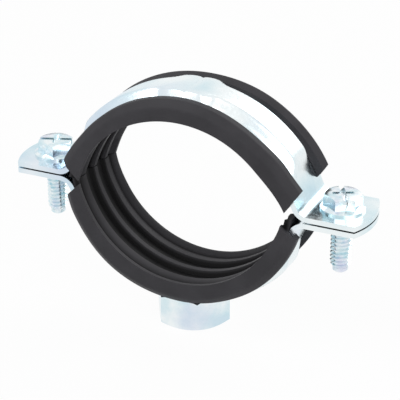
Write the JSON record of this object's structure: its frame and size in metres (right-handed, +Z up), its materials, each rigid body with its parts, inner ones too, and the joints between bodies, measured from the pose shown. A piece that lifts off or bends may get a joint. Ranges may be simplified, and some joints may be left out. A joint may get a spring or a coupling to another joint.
{
  "type": "rubber lined pipe clamp",
  "caption": "Two-screw pipe clamp: steel half straps with bent-out ears, ribbed rubber liners, flanged screws and a hex weld nut for hanging a pipe from a threaded rod.",
  "frame": {"origin": "centre of the weld nut's lower face", "axes": "+Z up through the nut and both straps, +Y along the pipe, +X towards the right ear"},
  "size_m": [0.0918, 0.02, 0.0614],
  "materials": {
    "zinc_strap": "bright zinc plate on pressed strip",
    "zinc_screw": "bright zinc plate on cold-formed screws",
    "zinc_nut": "bright zinc plate on a weld nut",
    "liner_rubber": "matte extruded black rubber"
  },
  "bodies": {
    "lower_half": {"lower_strap": "zinc_strap", "lower_liner": "liner_rubber", "weld_nut": "zinc_nut"},
    "upper_half": {"upper_strap": "zinc_strap", "upper_liner": "liner_rubber"},
    "left_screw": {"left_screw": "zinc_screw"},
    "right_screw": {"right_screw": "zinc_screw"}
  },
  "joints": [
    {"name": "opening", "type": "slide", "parent": "lower_half", "child": "upper_half", "axis": [0, 0, 1], "range_m": [0, 0.012]},
    {"name": "left_screw_turn", "type": "hinge", "parent": "upper_half", "child": "left_screw", "pos_m": [-0.038, 0, 0.036], "axis": [0, 0, 1], "range_deg": [0, 4320]},
    {"name": "right_screw_turn", "type": "hinge", "parent": "upper_half", "child": "right_screw", "pos_m": [0.038, 0, 0.036], "axis": [0, 0, 1], "range_deg": [0, 4320]}
  ],
  "couplings": [
    {"joint": "left_screw_turn", "follows": "opening", "rad_per_m": 6283.2},
    {"joint": "right_screw_turn", "follows": "opening", "rad_per_m": 6283.2}
  ]
}
